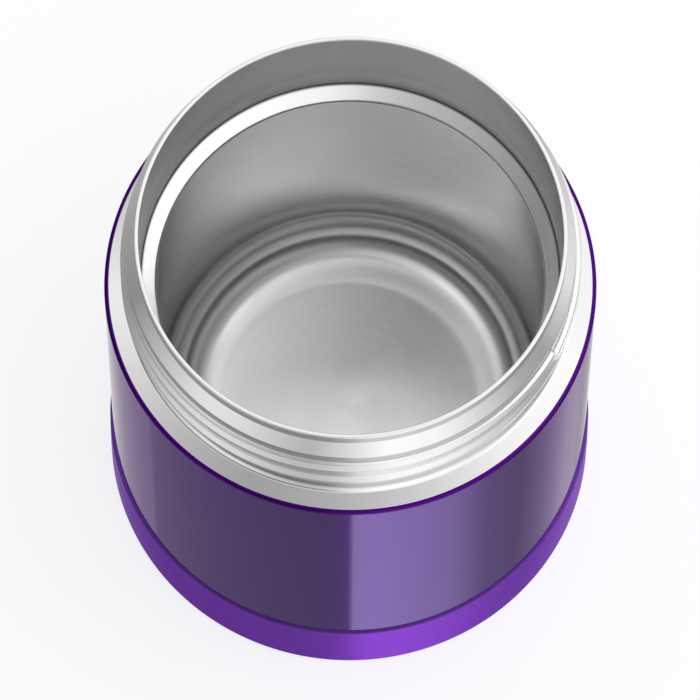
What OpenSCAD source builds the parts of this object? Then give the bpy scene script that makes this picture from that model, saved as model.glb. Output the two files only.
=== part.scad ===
// Wide-mouth vacuum-insulated food jar, open, without its screw lid.
// Origin: centre of the foot, on the surface that the jar stands on. +Z points up, along the jar's axis.
// The vessel is sheet steel of even thickness, so each sheet is drawn as a skin at two depths:
// skin(0) is the side that faces out or up, and skin(thickness) is the other side.

/* [Sheet steel] */
// Thickness of the inner vessel
liner_t = 0.4; // [0.3:0.05:0.55]
// Thickness of the neck, barrel and end cap
shell_t = 0.5; // [0.4:0.05:0.6]

/* [Mouth] */
// Inner diameter of the mouth
mouth_d = 80; // [60:0.5:100]
// Depth from the rim to the ledge that the stopper seats on
ledge_depth = 20.4; // [16:0.2:26]
// How far the ledge narrows the bore
ledge_w = 3; // [2:0.1:5]
// Angle between the sloping ledge and the jar's axis
ledge_angle = 53; // [28:1:60]
// Inside radius of the two bends at the ledge
ledge_bend = 0.5; // [0.3:0.05:1]

/* [Bowl] */
// Depth of the food bowl below the ledge
bowl_depth = 66.6; // [45:0.1:90]
// Radius between the bowl's wall and its floor
bowl_corner = 12; // [6:0.5:18]

/* [Neck] */
// How far the neck, at the root of the screw thread, stands out from the lip
flare_w = 1.8; // [1.2:0.1:3]
// Depth below the rim where the lip starts to flare
lip_h = 2.4; // [1.5:0.1:4]
// Height of the flare from the lip to the neck
flare_h = 3.3; // [2.5:0.1:5]
// Depth of the barrel's top edge below the rim
shoulder_depth = 23.9; // [18:0.1:30]
// How far the barrel stands out from the neck
shoulder_w = 4.4; // [3.6:0.1:7]
// Fall of the shoulder from the foot of the neck to the barrel
shoulder_fall = 1; // [0.4:0.1:2]
// Fillet radius at the foot of the neck
neck_fillet = 1; // [0.6:0.1:1.6]

/* [Barrel] */
// Radius of the barrel's top corner
barrel_corner = 0.8; // [0.75:0.05:1.2]
// How far the barrel steps in to take the base cup
barrel_step = 1.8; // [1.6:0.05:2.4]

/* [Base cup] */
// Height of the base cup
cup_h = 16.6; // [12:0.2:20]
// How far the cup's top edge stands proud of the barrel
cup_proud = 0.48; // [0.3:0.02:1]
// How much the cup swells below its top edge
cup_swell = 0.12; // [0:0.02:0.4]
// Radius of the cup's bottom edge
cup_edge = 1.6; // [1:0.1:2.5]
// Thickness of the cup's floor
cup_floor_t = 1.6; // [1.2:0.1:2.5]
// Height of the standing ring under the cup's floor
foot_h = 1; // [0.6:0.1:1.5]
// Width of the standing ring
foot_w = 5; // [3:0.5:8]
// Number of ribs inside the cup
rib_count = 8; // [4:1:12]
// Thickness of one rib
rib_t = 1.4; // [1:0.1:2]
// Thickness of the glue between cup and barrel
glue_t = 0.3; // [0.2:0.05:0.5]
// Height of the glue band
glue_h = 5; // [3:0.5:8]

/* [End cap and vacuum seal] */
// Height of the end cap's flange
cap_flange_h = 4; // [3:0.5:6]
// Bend radius of the end cap's rim
cap_bend = 1.5; // [1:0.1:2.5]
// Radius of the port recess in the end cap
port_recess_r = 10; // [9:0.5:12]
// Depth of the port recess
port_recess_h = 1.6; // [1.2:0.1:2]
// Radius of the evacuation port
port_r = 1; // [0.6:0.1:2]
// Radius of the seal disc
seal_r = 6; // [4:0.5:7]
// Thickness of the seal disc
seal_t = 0.6; // [0.4:0.1:0.8]
// Width of the braze round the seal disc
braze_w = 0.8; // [0.5:0.1:1.2]

/* [Inside the vacuum] */
// Height of the vacuum gap between the end cap's plate and the bowl's floor
vacuum_gap = 11; // [9:0.2:20]
// Thickness of the shield foil
foil_t = 0.15; // [0.1:0.05:0.3]
// Slack between the foil and the inner vessel
foil_gap = 0.05; // [0.02:0.01:0.2]
// Radius of the getter pellet
getter_r = 4.6; // [3:0.2:6]
// Height of the getter pellet
getter_h = 1.8; // [1:0.1:2.5]
// Sheet thickness of the getter clip
clip_t = 0.3; // [0.2:0.05:0.4]

/* [Hidden] */
$fn = 180;
bend_steps = 6;
corner_steps = 12;

// Radii
mouth_r = mouth_d / 2;
seam_r = mouth_r + liner_t;
lip_r = seam_r + liner_t;
neck_r = lip_r + flare_w;
barrel_r = neck_r + shoulder_w;
shoulder_r = barrel_r - barrel_corner;
bowl_r = mouth_r - ledge_w;
tail_r = barrel_r - barrel_step;
can_bore_r = tail_r - shell_t;
cup_bore_r = tail_r + glue_t;
cup_top_r = barrel_r + cup_proud;
cup_max_r = cup_top_r + cup_swell;

// Ledge: two bends and a straight slope between them
ledge_edge = ledge_bend + liner_t;
ledge_slope = (ledge_w - (ledge_bend + ledge_edge) * (1 - cos(ledge_angle))) / sin(ledge_angle);
ledge_h = (ledge_bend + ledge_edge) * sin(ledge_angle) + ledge_slope * cos(ledge_angle);

// Heights
cup_floor_z = foot_h + cup_floor_t;
cap_z = cup_floor_z + cap_flange_h;
recess_roof_z = cap_z + port_recess_h - shell_t;
floor_under_z = cap_z + vacuum_gap;
floor_z = floor_under_z + liner_t;
bowl_top_z = floor_z + bowl_depth;
ledge_z = bowl_top_z + ledge_h;
overall_h = ledge_z + ledge_depth;
lip_round = liner_t;
weld_z = overall_h - lip_round;
flare_top_z = overall_h - lip_h;
flare_end_z = flare_top_z - flare_h;
shoulder_z = overall_h - shoulder_depth;
step_gap = 0.15;
step_bend = barrel_step / 2;
step_z = cup_h + step_gap;

// Slopes
flare_angle = atan2(flare_w, flare_h);
flare_shift = tan(flare_angle / 2);
shoulder_run = shoulder_w - barrel_corner - neck_fillet;
shoulder_angle = atan2(shoulder_fall, shoulder_run);
fillet_r = neck_r + neck_fillet;
fillet_z = shoulder_z
    + (shoulder_run + neck_fillet * sin(shoulder_angle)) * tan(shoulder_angle)
    + neck_fillet * cos(shoulder_angle);

// Points of an arc round [x, y], from angle a0 to angle a1
function arc(x, y, r, a0, a1, steps = bend_steps) =
    [for (i = [0:steps]) let (a = a0 + (a1 - a0) * i / steps) [x + r * cos(a), y + r * sin(a)]];

function reversed(points) = [for (i = [len(points) - 1:-1:0]) points[i]];

// A revolved sheet between two skins
module sheet(face, back) {
    rotate_extrude()
        polygon(concat(face, reversed(back)));
}

// A revolved ring of rectangular section
module ring(r_in, r_out, z_low, z_high) {
    rotate_extrude()
        translate([r_in, z_low])
            square([r_out - r_in, z_high - z_low]);
}

// Inner vessel, from the weld at the rim down to the middle of the floor, at depth d into the sheet
function liner_skin(d) = concat(
    [[mouth_r + d, weld_z]],
    arc(mouth_r - ledge_bend, ledge_z, ledge_bend + d, 0, -ledge_angle),
    arc(bowl_r + ledge_edge, bowl_top_z, ledge_edge - d, 180 - ledge_angle, 180),
    arc(bowl_r - bowl_corner, floor_z + bowl_corner, bowl_corner + d, 0, -90, corner_steps),
    [[0, floor_z - d]]);

// Neck: lip, flare, straight thread wall, fillet and shoulder, at depth d into the sheet
function neck_skin(d) = concat(
    [[lip_r - d * liner_t / shell_t, weld_z]],
    [[lip_r - d * liner_t / shell_t, flare_top_z - d * flare_shift]],
    [[neck_r - d, flare_end_z - d * flare_shift]],
    arc(fillet_r, fillet_z, neck_fillet + d, 180, 270 - shoulder_angle),
    [[shoulder_r, shoulder_z - d / cos(shoulder_angle)]]);

// Barrel: turned-in top corner, straight wall, step for the cup and tail, at depth d into the sheet
function barrel_skin(d) = concat(
    arc(shoulder_r, shoulder_z - barrel_corner, barrel_corner - d, 90, 0),
    arc(barrel_r - step_bend, step_z + step_bend, step_bend - d, 0, -90),
    arc(tail_r + step_bend, step_z - step_bend, step_bend + d, 90, 180),
    [[tail_r - d, cup_floor_z]]);

// End cap: flange, plate and port recess, at depth d into the sheet
recess_wall_w = 2;
recess_shift = tan(atan2(port_recess_h, recess_wall_w) / 2);
function cap_skin(d) = concat(
    [[can_bore_r - d, cup_floor_z]],
    arc(can_bore_r - cap_bend, cap_z - cap_bend, cap_bend - d, 0, 90),
    [[port_recess_r + recess_wall_w - d * recess_shift, cap_z - d]],
    [[port_recess_r - d * recess_shift, cap_z + port_recess_h - d]],
    [[port_r, cap_z + port_recess_h - d]]);

// Getter clip: brim against the vessel's floor, wall and open floor, at depth d into the sheet
clip_gap = 0.05;
clip_brim_w = 2;
clip_lip_w = 1.5;
clip_r = getter_r + clip_gap;
clip_seat_z = floor_under_z - getter_h - clip_gap;
clip_outer_r = clip_r + clip_t + clip_brim_w;
function clip_skin(d) = [
    [clip_outer_r, floor_under_z - d],
    [clip_r + d, floor_under_z - d],
    [clip_r + d, clip_seat_z - d],
    [clip_r - clip_lip_w, clip_seat_z - d]];

module inner_liner() {
    color("silver")
        sheet(liner_skin(0), liner_skin(liner_t));
}

module neck_collar() {
    color("gainsboro")
        sheet(neck_skin(0), neck_skin(shell_t));
}

// The two sheets end side by side at the rim, under one polished bead of weld
module rim_weld() {
    color("white")
        rotate_extrude()
            polygon(arc(seam_r, weld_z, lip_round, 0, 180, corner_steps));
}

module body_shell() {
    color([0.33, 0.2, 0.5])
        sheet(barrel_skin(0), barrel_skin(shell_t));
}

module end_cap() {
    color("lightgray")
        sheet(cap_skin(0), cap_skin(shell_t));
}

module seal_disc() {
    color("gray")
        translate([0, 0, recess_roof_z - seal_t])
            cylinder(h = seal_t, r = seal_r);
}

// Braze fillet round the seal disc, up against the roof of the recess
module seal_braze() {
    color("goldenrod")
        rotate_extrude()
            polygon([
                [seal_r, recess_roof_z - seal_t],
                [seal_r + braze_w, recess_roof_z],
                [seal_r, recess_roof_z]]);
}

module foil_wrap() {
    foil_r = bowl_r + liner_t + foil_gap;
    foil_end = 2;
    color("lightsteelblue")
        ring(foil_r, foil_r + foil_t, floor_z + bowl_corner, bowl_top_z - foil_end);
}

module foil_floor() {
    foil_top_z = floor_under_z - foil_gap;
    color("lightsteelblue")
        ring(clip_outer_r + clip_t, bowl_r - bowl_corner, foil_top_z - foil_t, foil_top_z);
}

module getter_pellet() {
    color("dimgray")
        translate([0, 0, floor_under_z - getter_h])
            cylinder(h = getter_h, r = getter_r);
}

module getter_clip() {
    color("darkgray")
        sheet(clip_skin(0), clip_skin(clip_t));
}

// Wall, floor and standing ring of the cup, in section
cup_swell_z = cup_h / 2;
cup_lip_round = 0.25;
foot_r = cup_bore_r - foot_w / 2;
module cup_section() {
    polygon(concat(
        [[0, foot_h], [foot_r - foot_w / 2 - foot_h / 2, foot_h], [foot_r - foot_w / 2, 0]],
        arc(cup_max_r - cup_edge, cup_edge, cup_edge, -90, 0),
        [[cup_max_r, cup_swell_z]],
        arc(cup_top_r - cup_lip_round, cup_h - cup_lip_round, cup_lip_round, 0, 90),
        [[cup_bore_r, cup_h], [cup_bore_r, cup_floor_z], [0, cup_floor_z]]));
}

// Ribs that stand on the cup's floor and stop just under the end cap
rib_gap = 0.3;
rib_start_r = port_recess_r + 2 * recess_wall_w;
rib_end_r = can_bore_r - shell_t - cap_bend;
rib_h = cap_z - shell_t - rib_gap - cup_floor_z;
rib_root = cup_floor_t / 2;
module cup_ribs() {
    for (i = [0:rib_count - 1])
        rotate([0, 0, i * 360 / rib_count])
            translate([rib_start_r, -rib_t / 2, cup_floor_z - rib_root])
                cube([rib_end_r - rib_start_r, rib_t, rib_h + rib_root]);
}

module base_cup() {
    color([0.42, 0.18, 0.68]) {
        rotate_extrude()
            cup_section();
        cup_ribs();
    }
}

module base_glue() {
    glue_z = (cup_floor_z + cup_h - glue_h) / 2;
    color("ivory")
        ring(tail_r, cup_bore_r, glue_z, glue_z + glue_h);
}

inner_liner();
neck_collar();
rim_weld();
body_shell();
end_cap();
seal_disc();
seal_braze();
foil_wrap();
foil_floor();
getter_pellet();
getter_clip();
base_cup();
base_glue();
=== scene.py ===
"""Looks of the wide-mouth insulated food jar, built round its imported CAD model.

Metres, in the CAD frame: the jar stands on z = 0, its axis is Z and its front faces -Y.
Azimuths are in degrees round the axis, from the front (0) towards +X (90). Depths run down from the rim.
"""
import math

import bmesh
import bpy
import numpy as np
from mathutils import Matrix, Vector


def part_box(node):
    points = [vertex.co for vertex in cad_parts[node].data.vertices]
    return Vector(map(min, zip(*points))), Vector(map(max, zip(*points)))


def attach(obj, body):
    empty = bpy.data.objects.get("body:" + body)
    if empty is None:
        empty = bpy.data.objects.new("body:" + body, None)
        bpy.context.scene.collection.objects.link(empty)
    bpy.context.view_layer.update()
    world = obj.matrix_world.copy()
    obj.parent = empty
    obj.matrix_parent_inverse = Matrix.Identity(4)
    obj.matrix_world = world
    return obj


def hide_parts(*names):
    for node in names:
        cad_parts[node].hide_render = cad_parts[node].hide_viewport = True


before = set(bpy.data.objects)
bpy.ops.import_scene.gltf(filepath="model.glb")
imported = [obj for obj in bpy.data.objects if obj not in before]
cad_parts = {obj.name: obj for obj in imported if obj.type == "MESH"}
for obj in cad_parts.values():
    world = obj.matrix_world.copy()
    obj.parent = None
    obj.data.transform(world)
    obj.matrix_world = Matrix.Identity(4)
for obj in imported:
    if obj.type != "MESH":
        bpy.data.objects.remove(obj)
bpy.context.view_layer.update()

MM = 0.001
BODY = "root"

# ---------------------------------------------------------------------------
# Sizes: taken from the frame where a node gives them, otherwise as in the part's source
# ---------------------------------------------------------------------------
RIM_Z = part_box("rim_weld")[1].z
LIP_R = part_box("rim_weld")[1].x
WELD_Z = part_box("rim_weld")[0].z
SHOULDER_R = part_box("neck_collar")[1].x
BARREL_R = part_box("body_shell")[1].x
BARREL_TOP_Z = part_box("body_shell")[1].z
TAIL_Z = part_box("body_shell")[0].z
CUP_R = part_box("base_cup")[1].x
CUP_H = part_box("base_cup")[1].z
LINER_UNDER_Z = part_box("inner_liner")[0].z

LINER_T = 0.4 * MM          # sheet of the inner vessel
SHELL_T = 0.5 * MM          # sheet of the neck and the barrel
MOUTH_R = LIP_R - 2 * LINER_T
SEAM_R = LIP_R - LINER_T    # middle of the weld bead

LEDGE_DEPTH = 20.4 * MM     # from the rim to the start of the ledge's upper bend
LEDGE_ANGLE = math.radians(56)    # between the ledge and the jar's axis; the solids have 53
LEDGE_BEND = 0.5 * MM
BOWL_R = 37.0 * MM
BOWL_CORNER = 12.0 * MM
FLOOR_Z = LINER_UNDER_Z + LINER_T
LEDGE_TOP_Z = RIM_Z - LEDGE_DEPTH - LEDGE_BEND * math.tan(LEDGE_ANGLE / 2)
LEDGE_END_Z = LEDGE_TOP_Z - (MOUTH_R - BOWL_R) / math.tan(LEDGE_ANGLE)

CROWN_POWER = 4             # shape of the weld bead: 2 is a half round, and more is flatter
CROWN_STEPS = 32
LIP_H = 2.6 * MM
LIP_BEND = 0.25 * MM
FLARE_END = 5.7 * MM        # depth where the flare meets the neck's straight wall
FLARE_BEND = 0.5 * MM
NECK_R = 42.6 * MM
NECK_FILLET = 1.0 * MM
NECK_FOOT = 22.85 * MM      # depth of the sharp corner between neck and shoulder

BARREL_CORNER = 0.8 * MM
BARREL_STEP = 1.8 * MM      # how far the tail is drawn in for the base cup
STEP_GAP = 0.15 * MM        # between this step and the cup's top
STEP_BEND = 0.9 * MM
BEND_GAP = 0.001 * MM       # left between a bend and the next point where they would fall together

CUP_PROUD = 0.48 * MM       # how far the cup's top stands out from the barrel
CUP_LIP_ROUND = 0.3 * MM
CUP_SIDE_BEND = 20 * MM     # the slight bend at half height, above which the side leans in
CUP_EDGE = 1.6 * MM         # rounding of the bottom edge
CUP_FLOOR_T = 1.6 * MM
CUP_BORE_EDGE = 0.1 * MM    # rounding at the bore's top
CUP_BORE_BEND = 0.5 * MM    # between the bore and the floor in it
FOOT_H = 1.0 * MM           # height of the standing ring
FOOT_W = 5.0 * MM           # from the bore's radius in to the ring's inner edge
FOOT_BEND = 0.2 * MM        # at that inner edge
RECESS_BEND = 0.3 * MM      # between the ring's inner slope and the cup's underside
GLUE_T = 0.3 * MM

# ---------------------------------------------------------------------------
# Outlines and turned solids
# ---------------------------------------------------------------------------
ARC_STEP = math.radians(4)  # widest step along a bend
LONGEST_EDGE = 2.5 * MM     # longest piece that a straight stretch is cut into
SUPPORT = 0.06 * MM         # distance of the outer cuts from the ends of a straight stretch
UNCUT = 4 * SUPPORT         # a stretch up to this length isn't cut
SAME_POINT = SUPPORT / 100  # two points closer than this are one
ON_AXIS = SUPPORT / 2       # a ring of a smaller radius is one point
TURN_STEP = 1.25            # degrees between two points of a ring
EVEN_AZIMUTHS = np.arange(0, 360, TURN_STEP)


def rounded(corners):
    """The outline through corners (r, z, radius), with an arc of that radius at each inner corner."""
    points = []
    for index, (r, z, radius) in enumerate(corners):
        here = Vector((r, z))
        if radius == 0 or index in (0, len(corners) - 1):
            points.append(here)
            continue
        back = (Vector(corners[index - 1][:2]) - here).normalized()
        ahead = (Vector(corners[index + 1][:2]) - here).normalized()
        half = back.angle(ahead) / 2
        centre = here + (back + ahead).normalized() * radius / math.sin(half)
        start = here + back * radius / math.tan(half) - centre
        sweep = math.copysign(math.pi - 2 * half, ahead.cross(back))
        steps = max(2, math.ceil(abs(sweep) / min(ARC_STEP, UNCUT / radius)))
        for step in range(steps + 1):
            turn = Matrix.Rotation(sweep * step / steps, 2)
            points.append(centre + turn @ start)
    return points


def supported(points, longest=LONGEST_EDGE):
    """The outline with its straight stretches cut up, and a cut close to each end, for even shading."""
    made = [points[0]]
    for a, b in zip(points, points[1:]):
        length = (b - a).length
        if length > UNCUT:
            cuts = max(1, math.ceil((length - 2 * SUPPORT) / longest))
            inner = [SUPPORT + (length - 2 * SUPPORT) * cut / cuts for cut in range(cuts + 1)]
            made += [a.lerp(b, distance / length) for distance in inner]
        made.append(b)
    return made


def without_repeats(points):
    """The outline without points that fall on the one before them."""
    return points[:1] + [b for a, b in zip(points, points[1:]) if (b - a).length > SAME_POINT]


def even_sheet(face, thickness):
    """A closed outline: the face, and back along the same line moved to its left by the thickness."""
    back = []
    for before, point, after in zip(face[:1] + face, face, face[1:] + face[-1:]):
        along = (after - before).normalized()
        back.append(point + Vector((-along.y, along.x)) * thickness)
    return face + without_repeats(back)[::-1]


def turned(name, outline, azimuths=EVEN_AZIMUTHS, swell=None):
    """A closed turned solid from an outline of (r, z) points.

    swell(azimuths, z) gives how far each point of the ring at height z is pushed outwards.
    """
    angles = np.radians(azimuths)
    points, rings = [], []
    for r, z in outline:
        start = len(points)
        if r < ON_AXIS:
            points.append((0, 0, z))
            rings.append([start] * len(angles))
            continue
        radius = r + (swell(azimuths, z) if swell else np.zeros(len(angles)))
        points += zip(radius * np.sin(angles), -radius * np.cos(angles), np.full(len(angles), z))
        rings.append(range(start, len(points)))
    faces = []
    for first, second in zip(rings, rings[1:] + rings[:1]):
        for here in range(len(angles)):
            there = (here + 1) % len(angles)
            corners = dict.fromkeys((first[here], first[there], second[there], second[here]))
            if len(corners) > 2:
                faces.append(tuple(corners))
    return finished(name, points, faces)


def finished(name, points, faces):
    """A smooth mesh object in the scene, with its faces turned outwards, riding on the jar."""
    data = bpy.data.meshes.new(name)
    data.from_pydata(points, [], faces)
    mesh = bmesh.new()
    mesh.from_mesh(data)
    bmesh.ops.recalc_face_normals(mesh, faces=mesh.faces)
    mesh.to_mesh(data)
    mesh.free()
    data.shade_smooth()
    piece = bpy.data.objects.new(name, data)
    bpy.context.scene.collection.objects.link(piece)
    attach(piece, BODY)
    return piece


# ---------------------------------------------------------------------------
# The screw thread, rolled into the neck: right-handed, one and a half turns
# ---------------------------------------------------------------------------
THREAD_PITCH = 5.7 * MM
THREAD_H = 1.05 * MM        # crest over the straight wall
THREAD_CREST = 0.75 * MM    # width of the flat crest
THREAD_FLANK = math.radians(37)   # between each sloping flank and the jar's axis
THREAD_EASE = 0.09 * MM     # rounding where the flanks meet the wall and the crest
THREAD_START = 63.0         # azimuth of the upper end, which is cut off square
THREAD_END_RAMP = 0.8       # degrees over which the square end falls to the wall
THREAD_TURNS = 1.5
THREAD_FADE = 24.0          # degrees over which the lower end dies out
CREST_TOP_AT_FRONT = 10.2 * MM   # depth of the first crest's upper edge at azimuth 0
BAND_TOP = 8.45 * MM        # depth where the wall steps out above the first turn
BAND_BOTTOM = 19.5 * MM     # depth where it is back at the straight wall, eased over BAND_RAMP
BAND_RAMP = 1.4 * MM
BAND_H = 0.34 * MM
STEP_SLOPE = math.radians(62)     # between that step and the jar's axis
POCKET_DROP = 3.25 * MM     # behind the square end the straight wall reaches this much further down
POCKET_TURN = 36.0          # degrees over which this pocket closes
RAISED = (36.0, 85.0)       # degrees behind the end over which the wall under it leaves the crest's level
RAISED_END = (14.0 * MM, 15.0 * MM)     # depths over which it meets the second turn
THREAD_ROWS = 0.15 * MM     # spacing of the mesh rows on the threaded wall
END_CUTS = 25               # mesh columns set close together at the square end
END_SPAN = 1.5              # how far they reach to each side of it, in widths of its ramp


def smooth(value, low, high):
    """0 below low, 1 above high and an even S between them."""
    t = np.clip((value - low) / (high - low), 0, 1)
    return t * t * (3 - 2 * t)


def eased_min(first, second):
    """The lower of two heights, with the corner between them rounded."""
    overlap = np.clip(THREAD_EASE - np.abs(first - second), 0, None)
    return np.minimum(first, second) - overlap ** 2 / (4 * THREAD_EASE)


def eased_max(first, second):
    """The higher of two heights, with the corner between them rounded."""
    return -eased_min(-first, -second)


def ridge_height(depth, crest_top):
    """Height of one turn of the thread at that depth: straight flanks up to a flat crest."""
    slope = math.tan(THREAD_FLANK)
    upper = THREAD_H + (depth - crest_top) * slope
    lower = THREAD_H + (crest_top + THREAD_CREST - depth) * slope
    return np.clip(eased_min(eased_min(upper, THREAD_H), lower), 0, None)


def thread_swell(azimuths, z):
    """How far the rolled thread pushes the neck's wall out."""
    depth = RIM_Z - z
    behind = (azimuths - THREAD_START) % 360
    ridges = np.zeros(len(azimuths))
    for turn in range(math.ceil(THREAD_TURNS)):
        wound = (THREAD_START - azimuths) % 360 + 360 * turn
        crest_top = CREST_TOP_AT_FRONT + THREAD_PITCH * (wound - THREAD_START) / 360
        share = 1 - smooth(wound, 360 * THREAD_TURNS - THREAD_FADE, 360 * THREAD_TURNS)
        if turn == 0:
            share *= smooth(wound, 0, THREAD_END_RAMP)
        ridges = np.maximum(ridges, ridge_height(depth, crest_top) * share)
    past_end = smooth(behind, 0, THREAD_END_RAMP)
    raised = past_end * (1 - smooth(behind, *RAISED)) * (1 - smooth(depth, *RAISED_END))
    level = BAND_H + (THREAD_H - BAND_H) * raised
    step_top = BAND_TOP + POCKET_DROP * past_end * np.clip(1 - behind / POCKET_TURN, 0, 1)
    height = eased_min(eased_max(ridges, level), (depth - step_top) * math.tan(STEP_SLOPE))
    return np.clip(height, 0, None) * (1 - smooth(depth, BAND_BOTTOM - BAND_RAMP, BAND_BOTTOM))


def thread_azimuths():
    """Even azimuths, with closer ones at the thread's square end."""
    close = THREAD_START + THREAD_END_RAMP * np.linspace(-END_SPAN, END_SPAN, END_CUTS)
    apart = (EVEN_AZIMUTHS < close[0] - TURN_STEP / 2) | (EVEN_AZIMUTHS > close[-1] + TURN_STEP / 2)
    return np.sort(np.concatenate((EVEN_AZIMUTHS[apart], close)))


# ---------------------------------------------------------------------------
# The pieces
# ---------------------------------------------------------------------------
def liner_piece():
    """The inner vessel: mouth wall, sloping ledge, deep bowl and rounded floor, in even sheet."""
    face = supported(rounded([
        (MOUTH_R, WELD_Z, 0),
        (MOUTH_R, LEDGE_TOP_Z, LEDGE_BEND),
        (BOWL_R, LEDGE_END_Z, LEDGE_BEND + LINER_T),
        (BOWL_R, FLOOR_Z, BOWL_CORNER),
        (0, FLOOR_Z, 0)]))
    return turned("inner_liner_drawn", even_sheet(face, LINER_T))


def rim_piece():
    """The weld bead at the rim: a polished crown over both sheets, flatter than a half round."""
    crown = []
    for step in range(CROWN_STEPS + 1):
        angle = math.pi * step / CROWN_STEPS
        across, up = math.cos(angle), math.sin(angle)
        reach = LINER_T / (abs(across) ** CROWN_POWER + abs(up) ** CROWN_POWER) ** (1 / CROWN_POWER)
        crown.append(Vector((SEAM_R + reach * across, WELD_Z + reach * up)))
    return turned("rim_weld_polished", supported(crown + [Vector((SEAM_R, WELD_Z))]))


def neck_piece():
    """The neck: lip, flare, threaded wall, fillet and shoulder."""
    bare = rounded([
        (LIP_R, WELD_Z, 0),
        (LIP_R, RIM_Z - LIP_H, LIP_BEND),
        (NECK_R, RIM_Z - FLARE_END, FLARE_BEND),
        (NECK_R, RIM_Z - NECK_FOOT, NECK_FILLET),
        (SHOULDER_R, BARREL_TOP_Z, 0)])
    lengths = [(b - a).length for a, b in zip(bare, bare[1:])]
    wall = lengths.index(max(lengths))
    threaded = supported(bare[wall:wall + 2], THREAD_ROWS)
    face = without_repeats(supported(bare[:wall + 1]) + threaded + supported(bare[wall + 1:]))
    return turned("neck_collar_threaded", even_sheet(face, -SHELL_T), thread_azimuths(), thread_swell)


def barrel_piece():
    """The lacquered barrel: rounded top corner, straight wall and the step that takes the base cup."""
    step_z = CUP_H + STEP_GAP
    tail_r = BARREL_R - BARREL_STEP
    face = supported(rounded([
        (SHOULDER_R, BARREL_TOP_Z, 0),
        (BARREL_R, BARREL_TOP_Z, BARREL_CORNER - BEND_GAP),
        (BARREL_R, step_z, STEP_BEND),
        (tail_r, step_z - BEND_GAP, STEP_BEND - 2 * BEND_GAP),
        (tail_r, TAIL_Z, 0)]))
    return turned("body_shell_lacquered", even_sheet(face, -SHELL_T))


def cup_piece():
    """The moulded base cup, with the standing ring under it."""
    bore_r = BARREL_R - BARREL_STEP + GLUE_T
    ring_r = bore_r - FOOT_W
    floor_z = FOOT_H + CUP_FLOOR_T
    outline = supported(rounded([
        (0, FOOT_H, 0),
        (ring_r - FOOT_H / 2, FOOT_H, RECESS_BEND),
        (ring_r, 0, FOOT_BEND),
        (CUP_R, 0, CUP_EDGE),
        (CUP_R, CUP_H / 2, CUP_SIDE_BEND),
        (BARREL_R + CUP_PROUD, CUP_H, CUP_LIP_ROUND),
        (bore_r, CUP_H, CUP_BORE_EDGE),
        (bore_r, floor_z, CUP_BORE_BEND),
        (0, floor_z, 0)]))
    return turned("base_cup_moulded", outline)


# ---------------------------------------------------------------------------
# Shader building
# ---------------------------------------------------------------------------
# Ranges of a noise's values that a finish spreads over its own range; a narrower one gives more contrast
WIDE, MIDDLE, NARROW = (0.2, 0.8), (0.3, 0.7), (0.35, 0.65)


def add(tree, kind, sockets=None, **settings):
    """A new node. sockets maps an input's name or number to a value, or to the output that feeds it."""
    made = tree.nodes.new(kind)
    for key, value in settings.items():
        setattr(made, key, value)
    for key, value in (sockets or {}).items():
        if isinstance(value, bpy.types.NodeSocket):
            tree.links.new(value, made.inputs[key])
        else:
            made.inputs[key].default_value = value
    return made


def calc(tree, operation, *values):
    """The output of a math node."""
    return add(tree, "ShaderNodeMath", dict(enumerate(values)), operation=operation).outputs[0]


def remap(tree, value, low, high, to_low=0.0, to_high=1.0):
    """value, which runs from low to high, spread over another range."""
    sockets = {0: value, 1: low, 2: high, 3: to_low, 4: to_high}
    return add(tree, "ShaderNodeMapRange", sockets).outputs[0]


def between(tree, share, first, second):
    """The number that goes from first at share 0 to second at share 1."""
    return remap(tree, share, 0.0, 1.0, first, second)


def blend_colour(tree, share, first, second):
    """The colour that goes from first at share 0 to second at share 1."""
    return add(tree, "ShaderNodeMix", {0: share, 6: first, 7: second}, data_type="RGBA").outputs[2]


def place_of(tree):
    """The shaded point, in the jar's own coordinates."""
    return add(tree, "ShaderNodeTexCoord").outputs["Object"]


def height_of(tree):
    """The shaded point's height over the foot."""
    return add(tree, "ShaderNodeSeparateXYZ", {0: place_of(tree)}).outputs[2]


def material_with(name, base, roughness, metallic=0.0, **constants):
    """A material, its node tree and its Principled shader, with the constants on the shader's own sockets."""
    material = bpy.data.materials.new(name)
    material.use_nodes = True
    shader = material.node_tree.nodes["Principled BSDF"]
    shader.inputs["Base Color"].default_value = (*base, 1)
    shader.inputs["Roughness"].default_value = roughness
    shader.inputs["Metallic"].default_value = metallic
    for key, value in constants.items():
        shader.inputs[key.replace("_", " ")].default_value = value
    return material, material.node_tree, shader


def turned_noise(tree, turns, pitch, detail=2.0):
    """Noise drawn out round the axis, as tool marks are: pitch is their spacing along r and z."""
    place = place_of(tree)
    split = add(tree, "ShaderNodeSeparateXYZ", {0: place}).outputs
    flat = add(tree, "ShaderNodeCombineXYZ", {0: split[0], 1: split[1]}).outputs[0]
    radius = add(tree, "ShaderNodeVectorMath", {0: flat}, operation="LENGTH").outputs["Value"]
    unit = add(tree, "ShaderNodeVectorMath", {0: flat}, operation="NORMALIZE").outputs[0]
    spread = add(tree, "ShaderNodeVectorMath", {0: unit, "Scale": turns}, operation="SCALE").outputs[0]
    height = add(tree, "ShaderNodeCombineXYZ", {2: calc(tree, "MULTIPLY", split[2], 1 / pitch)}).outputs[0]
    vector = add(tree, "ShaderNodeVectorMath", {0: spread, 1: height}, operation="ADD").outputs[0]
    w = calc(tree, "MULTIPLY", radius, 1 / pitch)
    sockets = {"Vector": vector, "W": w, "Scale": 1.0, "Detail": detail}
    return add(tree, "ShaderNodeTexNoise", sockets, noise_dimensions="4D").outputs[0]


def plain_noise(tree, size, detail=3.0):
    """Even noise with grains of that size."""
    sockets = {"Vector": place_of(tree), "Scale": 1 / size, "Detail": detail}
    return add(tree, "ShaderNodeTexNoise", sockets).outputs[0]


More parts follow.
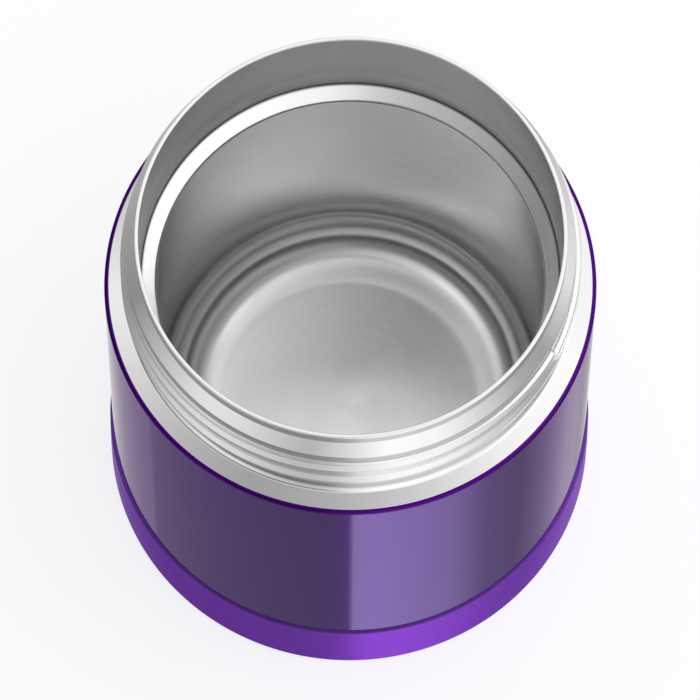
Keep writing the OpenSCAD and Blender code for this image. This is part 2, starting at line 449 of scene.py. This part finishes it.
def feed(tree, shader, **outputs):
    """Links each output to the shader's input of that name."""
    for key, output in outputs.items():
        tree.links.new(output, shader.inputs[key.replace("_", " ")])


def bumped(tree, shader, height, distance):
    """Sends a height, in shares of the distance, to the shader's normal."""
    bump = add(tree, "ShaderNodeBump", {"Height": height, "Distance": distance, "Strength": 1.0})
    feed(tree, shader, Normal=bump.outputs[0])


# ---------------------------------------------------------------------------
# Finishes
# ---------------------------------------------------------------------------
ZONE_EDGE = 0.25 * MM       # height over which one zone of painted light and shade, with its roughness, turns into the next
LINE_SHARE, BAND_SHARE = 0.6, 0.4       # parts of fine lines and broader bands in the tool marks
LINE_TURNS, BAND_TURNS = 2.0, 1.2       # how fast they change on the way round; less is a longer mark
BAND_PITCH = 9              # spacing of the bands, in spacings of the lines
MARK_TONES = (0.94, 1.0)    # what the marks leave of the tone
MARK_ROUGHNESS = (0.85, 1.15)
WEAR_SIZE = 9 * MM
WEAR_ROUGHNESS = (-0.02, 0.02)


def shade_and_finish_zone(low, high, tone, roughness, fade=ZONE_EDGE):
    """A stretch of heights of a steel piece with its own roughness and a tone of painted light or shade,
    which fades out towards its upper end.
    """
    return low, high, tone, roughness, fade


def steel(name, tone, roughness, line_pitch, line_depth, brushed=0.5, shade_and_finish_zones=()):
    """Stainless steel with tool lines round the axis: fine lines, broader bands and faint cloudy wear, and
    zones of height with tones of painted light and shade.
    """
    material, tree, shader = material_with(
        name, (tone, tone, tone), roughness, metallic=1.0, Anisotropic=brushed)
    fine = turned_noise(tree, LINE_TURNS, line_pitch)
    broad = turned_noise(tree, BAND_TURNS, line_pitch * BAND_PITCH)
    wear = plain_noise(tree, WEAR_SIZE)
    marks = calc(tree, "ADD", calc(tree, "MULTIPLY", fine, LINE_SHARE),
                 calc(tree, "MULTIPLY", broad, BAND_SHARE))
    height = height_of(tree)
    bright, rough = tone, roughness
    # Each zone's tone is painted light or shade; its roughness is the steel's finish there
    for low, high, painted_shading_tone, zone_roughness, fade in shade_and_finish_zones:
        inside = calc(tree, "MINIMUM", remap(tree, height, low, low + ZONE_EDGE),
                      remap(tree, height, high, high - fade))
        bright = between(tree, inside, bright, painted_shading_tone)
        rough = between(tree, inside, rough, zone_roughness)
    bright = calc(tree, "MULTIPLY", bright, remap(tree, marks, *WIDE, *MARK_TONES))
    rough = calc(tree, "MULTIPLY", rough, remap(tree, marks, *MIDDLE, *MARK_ROUGHNESS))
    rough = calc(tree, "ADD", rough, remap(tree, wear, *NARROW, *WEAR_ROUGHNESS))
    grey = add(tree, "ShaderNodeCombineColor", {0: bright, 1: bright, 2: bright}).outputs[0]
    tangent = add(tree, "ShaderNodeTangent", direction_type="RADIAL", axis="Z").outputs[0]
    feed(tree, shader, Base_Color=grey, Roughness=rough, Tangent=tangent)
    bumped(tree, shader, marks, line_depth)
    return material


LACQUER_LIGHT, LACQUER_DARK = (0.100, 0.0, 0.28, 1), (0.080, 0.0, 0.235, 1)
LACQUER_CORNER_SHADE = (0.068, 0.0, 0.19, 1)  # painted shade, darkening the barrel's rounded top corner, where the coat is also thinner
CORNER_COAT = 0.15
FLAKE_SIZE = 0.22 * MM
FLAKE_SHARE = 0.75          # of the colour's variation; large soft clouds give the rest
FLAKE_ROUGHNESS = (0.17, 0.23)
FLAKE_DEPTH = 0.002 * MM
LACQUER_CLOUD = 14 * MM


def lacquer():
    """Violet metallic lacquer under a clear gloss coat, with painted shade on the rounded top corner."""
    material, tree, shader = material_with(
        "violet_lacquer", LACQUER_LIGHT[:3], 0.2, metallic=1.0,
        Specular_Tint=(0.6, 0.0, 1.0, 1), Coat_Weight=1.0, Coat_Roughness=0.025, Coat_IOR=1.4)
    flakes = plain_noise(tree, FLAKE_SIZE, 1.0)
    cloud = plain_noise(tree, LACQUER_CLOUD)
    share = calc(tree, "ADD", remap(tree, flakes, *MIDDLE, 0.0, FLAKE_SHARE),
                 remap(tree, cloud, *MIDDLE, 0.0, 1 - FLAKE_SHARE))
    wall = blend_colour(tree, share, LACQUER_DARK, LACQUER_LIGHT)
    # The top corner: painted shade in the colour, and a thinner coat
    corner = remap(tree, height_of(tree), BARREL_TOP_Z - BARREL_CORNER, BARREL_TOP_Z - BARREL_CORNER / 2)
    feed(tree, shader,
         Base_Color=blend_colour(tree, corner, wall, LACQUER_CORNER_SHADE),
         Coat_Weight=between(tree, corner, 1.0, CORNER_COAT),
         Roughness=remap(tree, flakes, *MIDDLE, *FLAKE_ROUGHNESS))
    bumped(tree, shader, flakes, FLAKE_DEPTH)
    return material


PLASTIC_LIGHT, PLASTIC_DARK = (0.35, 0.12, 0.86, 1), (0.32, 0.105, 0.79, 1)
PLASTIC_LIP_SHADE = (0.16, 0.05, 0.36, 1)     # painted shade on the rounding of the cup's top edge, under the barrel's step
SKIN_GRAIN = 0.35 * MM
SKIN_ROUGHNESS = (0.265, 0.30)
SKIN_DEPTH = 0.0015 * MM
PLASTIC_FLOW = 18 * MM      # size of the soft changes of colour


def cup_plastic():
    """Moulded violet plastic with a fine satin skin and a metallic pigment, with painted shade along its top
    edge.
    """
    material, tree, shader = material_with(
        "violet_plastic", PLASTIC_LIGHT[:3], 0.28, metallic=0.6,
        Specular_IOR_Level=0.1, Specular_Tint=(0.7, 0.2, 1.0, 1))
    grain = plain_noise(tree, SKIN_GRAIN, 2.0)
    flow = plain_noise(tree, PLASTIC_FLOW)
    side = blend_colour(tree, flow, PLASTIC_DARK, PLASTIC_LIGHT)
    # Painted shade on the top edge, where it meets the barrel
    lip = remap(tree, height_of(tree), CUP_H - CUP_LIP_ROUND, CUP_H - CUP_LIP_ROUND / 3)
    feed(tree, shader,
         Base_Color=blend_colour(tree, lip, side, PLASTIC_LIP_SHADE),
         Roughness=remap(tree, grain, *MIDDLE, *SKIN_ROUGHNESS))
    bumped(tree, shader, grain, SKIN_DEPTH)
    return material


GRAIN_LIGHT, GRAIN_DARK = 1.1, 0.82     # a hidden finish's lightest and darkest, in shares of its tone
GRAIN_ROUGHNESS = (0.85, 1.15)          # the same for its roughness
GRAIN_DEPTH = 1 / 20        # of the grain's size


def plain_matt(name, tone, roughness, grain, metallic=0.0):
    """A simple finish for a hidden piece: a tone that varies with a fine grain."""
    material, tree, shader = material_with(name, tone, roughness, metallic=metallic)
    noise = plain_noise(tree, grain)
    light = (*[min(1, GRAIN_LIGHT * c) for c in tone], 1)
    dark = (*[GRAIN_DARK * c for c in tone], 1)
    feed(tree, shader,
         Base_Color=blend_colour(tree, noise, dark, light),
         Roughness=remap(tree, noise, *MIDDLE, *[roughness * share for share in GRAIN_ROUGHNESS]))
    bumped(tree, shader, noise, grain * GRAIN_DEPTH)
    return material


# ---------------------------------------------------------------------------
# Dress the jar
# ---------------------------------------------------------------------------
FOOT_SHADE_DEPTH = 17 * MM       # depth where the threaded wall's tone and roughness turn into the painted shade of its foot


def dress(piece, node, material):
    """Puts the piece in the place of its CAD node."""
    piece.data.materials.append(material)
    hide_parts(node)


def liner_steel():
    """The inner vessel's steel, with light and shade painted by height: painted shade dulls the mouth wall,
    painted highlights brighten its foot and the ledge, and a painted shade line darkens the bend between
    them.
    """
    # Painted shade on the mouth wall, painted highlights on its foot and on the ledge, and a painted dark
    # shade line in the bend
    mouth = shade_and_finish_zone(LEDGE_TOP_Z, RIM_Z, 0.51, 0.34)
    mouth_foot_highlight = shade_and_finish_zone(LEDGE_TOP_Z, LEDGE_TOP_Z + 6 * MM, 1.0, 0.40, 5 * MM)
    ledge = shade_and_finish_zone(LEDGE_END_Z, LEDGE_TOP_Z, 1.0, 0.28)
    bend = shade_and_finish_zone(LEDGE_TOP_Z - 0.35 * MM, LEDGE_TOP_Z + 0.3 * MM, 0.20, 0.40)
    shade_and_finish_zones = (mouth, mouth_foot_highlight, ledge, bend)
    return steel("liner_steel", 0.80, 0.22, 0.16 * MM, 0.0012 * MM, shade_and_finish_zones=shade_and_finish_zones)


def neck_steel():
    """The neck's steel: lip, land above the thread, thread, its foot and fillet differ a little, in roughness
    and in tones of painted light and shade.
    """
    # Tones painted by height: painted shade on the lip's side, the land and the thread's foot, a lighter
    # painted tone on the thread, a painted highlight on the fillet
    lip = shade_and_finish_zone(RIM_Z - LIP_H, WELD_Z, 0.72, 0.34)
    land = shade_and_finish_zone(RIM_Z - BAND_TOP, RIM_Z - FLARE_END - 0.1 * MM, 0.66, 0.30)
    thread = shade_and_finish_zone(RIM_Z - FOOT_SHADE_DEPTH, RIM_Z - BAND_TOP, 0.92, 0.24)
    foot = shade_and_finish_zone(RIM_Z - NECK_FOOT + NECK_FILLET, RIM_Z - FOOT_SHADE_DEPTH, 0.62, 0.22)
    fillet = shade_and_finish_zone(RIM_Z - NECK_FOOT - 0.1 * MM, RIM_Z - NECK_FOOT + NECK_FILLET, 1.0, 0.13)
    shade_and_finish_zones = (lip, land, thread, foot, fillet)
    return steel("neck_steel", 0.90, 0.13, 0.12 * MM, 0.0008 * MM, shade_and_finish_zones=shade_and_finish_zones)


def dress_visible():
    """The five pieces that show, turned anew in place of their CAD nodes."""
    dress(liner_piece(), "inner_liner", liner_steel())
    dress(neck_piece(), "neck_collar", neck_steel())
    rim_steel = steel("rim_steel", 1.0, 0.30, 0.10 * MM, 0.0005 * MM, brushed=0.1)
    dress(rim_piece(), "rim_weld", rim_steel)
    barrel = barrel_piece()
    barrel.visible_glossy = False       # the steel and the cup's lip don't mirror it
    dress(barrel, "body_shell", lacquer())
    dress(cup_piece(), "base_cup", cup_plastic())


def dress_hidden():
    """Finishes for the pieces inside, which keep their CAD meshes."""
    finishes = {
        "end_cap": steel("cap_steel", 0.62, 0.30, 0.2 * MM, 0.002 * MM),
        "seal_disc": plain_matt("seal_steel", (0.55, 0.55, 0.56), 0.35, 0.4 * MM, 1.0),
        "seal_braze": plain_matt("braze", (0.72, 0.58, 0.30), 0.4, 0.3 * MM, 1.0),
        "foil_wrap": plain_matt("shield_foil", (0.83, 0.84, 0.86), 0.18, 1.2 * MM, 1.0),
        "getter_pellet": plain_matt("getter", (0.20, 0.20, 0.21), 0.8, 0.25 * MM),
        "getter_clip": plain_matt("clip_steel", (0.60, 0.60, 0.61), 0.3, 0.5 * MM, 1.0),
        "base_glue": plain_matt("glue", (0.90, 0.88, 0.80), 0.55, 0.8 * MM),
    }
    finishes["foil_floor"] = finishes["foil_wrap"]
    for node, material in finishes.items():
        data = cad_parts[node].data
        data.materials.clear()
        data.materials.append(material)


# ---------------------------------------------------------------------------
# Studio: floor, surrounding light and camera
# ---------------------------------------------------------------------------
# Grey tones of the studio, as rings of soft panels (azimuth, tone) that run into each other:
# below the jar, level with it and rising above it
LOW_PANELS = [
    (-180, .9), (-160, .62), (-140, .42), (-120, .36), (-111.5, .37), (-110.5, .27), (.6, .26), (2.8, 1.0),
    (16, .97), (34, .85), (52, .68), (72, .32), (92, .23), (110, .34), (130, .54), (140, .52),
    (150, .42), (160, .5), (172, .8), (180, .9)]
LEVEL_PANELS = [
    (-180, .7), (-115, .35), (-98, .29), (-80, .52), (-54, .88), (-41, .82), (-14, .50), (2, .85),
    (14, 1.15), (34, 1.05), (54, .68), (67, .44), (80, .39), (104, .87), (150, .7), (180, .7)]
RISING_PANELS = [
    (-180, .6), (-120, .25), (-95, .20), (-70, .26), (-45, .27), (-25, .18), (-8, .26), (2, .9),
    (12, 1.1), (45, 1.05), (65, 1.1), (95, 1.2), (125, 1.1), (180, .6)]
# Heights of a direction of length 1, over which each ring turns into the next, and the last into the ceiling
LOW_TO_LEVEL = (-0.75, -0.5)
LEVEL_TO_RISING = (0.10, 0.22)
RISING_TO_CEILING = (0.60, 0.79)
# The ceiling is white, with a dim patch over the front left, where the camera stands,
# and a softbox at the right
CEILING_TONE = 1.03
DIM_PATCH = (-.22, -.20, .95)
DIM_TONE = .38
DIM_REACH = .64
DIM_FALL = 1.5              # power of its falling off: above 1 it stays dim further out
SOFTBOX = (.78, -.05, .62)
SOFTBOX_TONE = 1.6          # added to the ceiling's own tone
SOFTBOX_REACH = .42


def tone_ring(tree, share, panels):
    """A ring of panels (azimuth, tone) from -180 to 180 degrees, as a ramp of greys over share 0 to 1."""
    node = add(tree, "ShaderNodeValToRGB", {0: share})
    ramp = node.color_ramp
    while len(ramp.elements) < len(panels):
        ramp.elements.new(1.0)
    for element, (azimuth, tone) in zip(ramp.elements, panels):
        element.position = (azimuth + 180) / 360
        element.color = (tone, tone, tone, 1)
    return node.outputs[0]


def away(tree, direction, target):
    """How far the direction points from the target direction, both of unit length."""
    sockets = {0: direction, 1: Vector(target).normalized()}
    return add(tree, "ShaderNodeVectorMath", sockets, operation="DISTANCE").outputs["Value"]


def surround():
    """The studio as the jar sees it; the camera itself sees plain white."""
    world = bpy.data.worlds.new("studio")
    bpy.context.scene.world = world
    world.use_nodes = True
    tree = world.node_tree
    direction = add(tree, "ShaderNodeTexCoord").outputs["Generated"]
    x, y, z = add(tree, "ShaderNodeSeparateXYZ", {0: direction}).outputs
    azimuth = calc(tree, "ARCTAN2", x, calc(tree, "MULTIPLY", y, -1.0))
    share = calc(tree, "MULTIPLY_ADD", azimuth, 1 / (2 * math.pi), 0.5)
    low = tone_ring(tree, share, LOW_PANELS)
    level = tone_ring(tree, share, LEVEL_PANELS)
    rising = tone_ring(tree, share, RISING_PANELS)
    dim = calc(tree, "POWER", remap(tree, away(tree, direction, DIM_PATCH), 0.0, DIM_REACH), DIM_FALL)
    glow = remap(tree, away(tree, direction, SOFTBOX), SOFTBOX_REACH, SOFTBOX_REACH / 2, 0.0, SOFTBOX_TONE)
    ceiling = calc(tree, "ADD", between(tree, dim, DIM_TONE, CEILING_TONE), glow)
    sides = blend_colour(tree, remap(tree, z, *LOW_TO_LEVEL), low, level)
    walls = blend_colour(tree, remap(tree, z, *LEVEL_TO_RISING), sides, rising)
    room = blend_colour(tree, remap(tree, z, *RISING_TO_CEILING), walls, ceiling)
    seen = add(tree, "ShaderNodeLightPath").outputs["Is Camera Ray"]
    feed(tree, tree.nodes["Background"], Color=blend_colour(tree, seen, room, (1, 1, 1, 1)))


FLOOR_R = 6.0
FLOOR_SIDES = 96
FLOOR_Z_GAP = 0.05 * MM     # keeps the floor's face clear of the standing ring's
FLOOR_TONE = 0.3
FLOOR_GLOW = 0.77           # added to the floor's tone for the camera, so that it runs out to white


def floor():
    """A pale floor that keeps the jar's soft shadow and runs out to white."""
    mesh = bmesh.new()
    bmesh.ops.create_circle(mesh, cap_ends=True, radius=FLOOR_R, segments=FLOOR_SIDES)
    data = bpy.data.meshes.new("floor")
    mesh.to_mesh(data)
    mesh.free()
    piece = bpy.data.objects.new("floor", data)
    piece.location.z = -FLOOR_Z_GAP
    bpy.context.scene.collection.objects.link(piece)
    piece.visible_glossy = False
    material = bpy.data.materials.new("floor_paper")
    material.use_nodes = True
    tree = material.node_tree
    tree.nodes.remove(tree.nodes["Principled BSDF"])
    paper = add(tree, "ShaderNodeBsdfDiffuse", {"Color": (FLOOR_TONE, FLOOR_TONE, FLOOR_TONE, 1)})
    seen = add(tree, "ShaderNodeLightPath").outputs["Is Camera Ray"]
    glow = add(tree, "ShaderNodeEmission", {"Strength": calc(tree, "MULTIPLY", seen, FLOOR_GLOW)})
    both = add(tree, "ShaderNodeAddShader", {0: paper.outputs[0], 1: glow.outputs[0]})
    feed(tree, tree.nodes["Material Output"], Surface=both.outputs[0])
    data.materials.append(material)


FRAME_PX = 700              # width and height of the picture
FOCAL_PX = 7977.0           # focal length, in the picture's pixels
SENSOR = 36.0               # sensor width, mm
CAMERA_DISTANCE = 1.5       # from the centre of the rim
CAMERA_ELEVATION = 67.85
CAMERA_ROLL = 0.5
RIM_PX = (350.8, 235.2)     # where the centre of the rim lands in the picture
NEAREST, FARTHEST = 0.1, 20


def camera():
    """A long lens from above the front, at the photograph's viewing angle."""
    elevation = math.radians(CAMERA_ELEVATION)
    roll = math.radians(CAMERA_ROLL)
    forward = Vector((0, math.cos(elevation), -math.sin(elevation)))
    level_right, level_up = Vector((1, 0, 0)), Vector((0, math.sin(elevation), math.cos(elevation)))
    right = math.cos(roll) * level_right + math.sin(roll) * level_up
    up = math.cos(roll) * level_up - math.sin(roll) * level_right
    across = (FRAME_PX / 2 - RIM_PX[0]) / FOCAL_PX
    down = (FRAME_PX / 2 - RIM_PX[1]) / FOCAL_PX
    axis = (forward + right * across - up * down).normalized()
    side = axis.cross(up).normalized()
    rows = Matrix((side, side.cross(axis), -axis)).transposed()
    place = Vector((0, 0, RIM_Z)) - forward * CAMERA_DISTANCE
    data = bpy.data.cameras.new("camera")
    data.sensor_width = SENSOR
    data.lens = FOCAL_PX * SENSOR / FRAME_PX
    data.clip_start, data.clip_end = NEAREST, FARTHEST
    made = bpy.data.objects.new("camera", data)
    made.matrix_world = Matrix.Translation(place) @ rows.to_4x4()
    bpy.context.scene.collection.objects.link(made)
    bpy.context.scene.camera = made


dress_visible()
dress_hidden()
surround()
floor()
camera()
bpy.context.scene.view_settings.view_transform = "Standard"
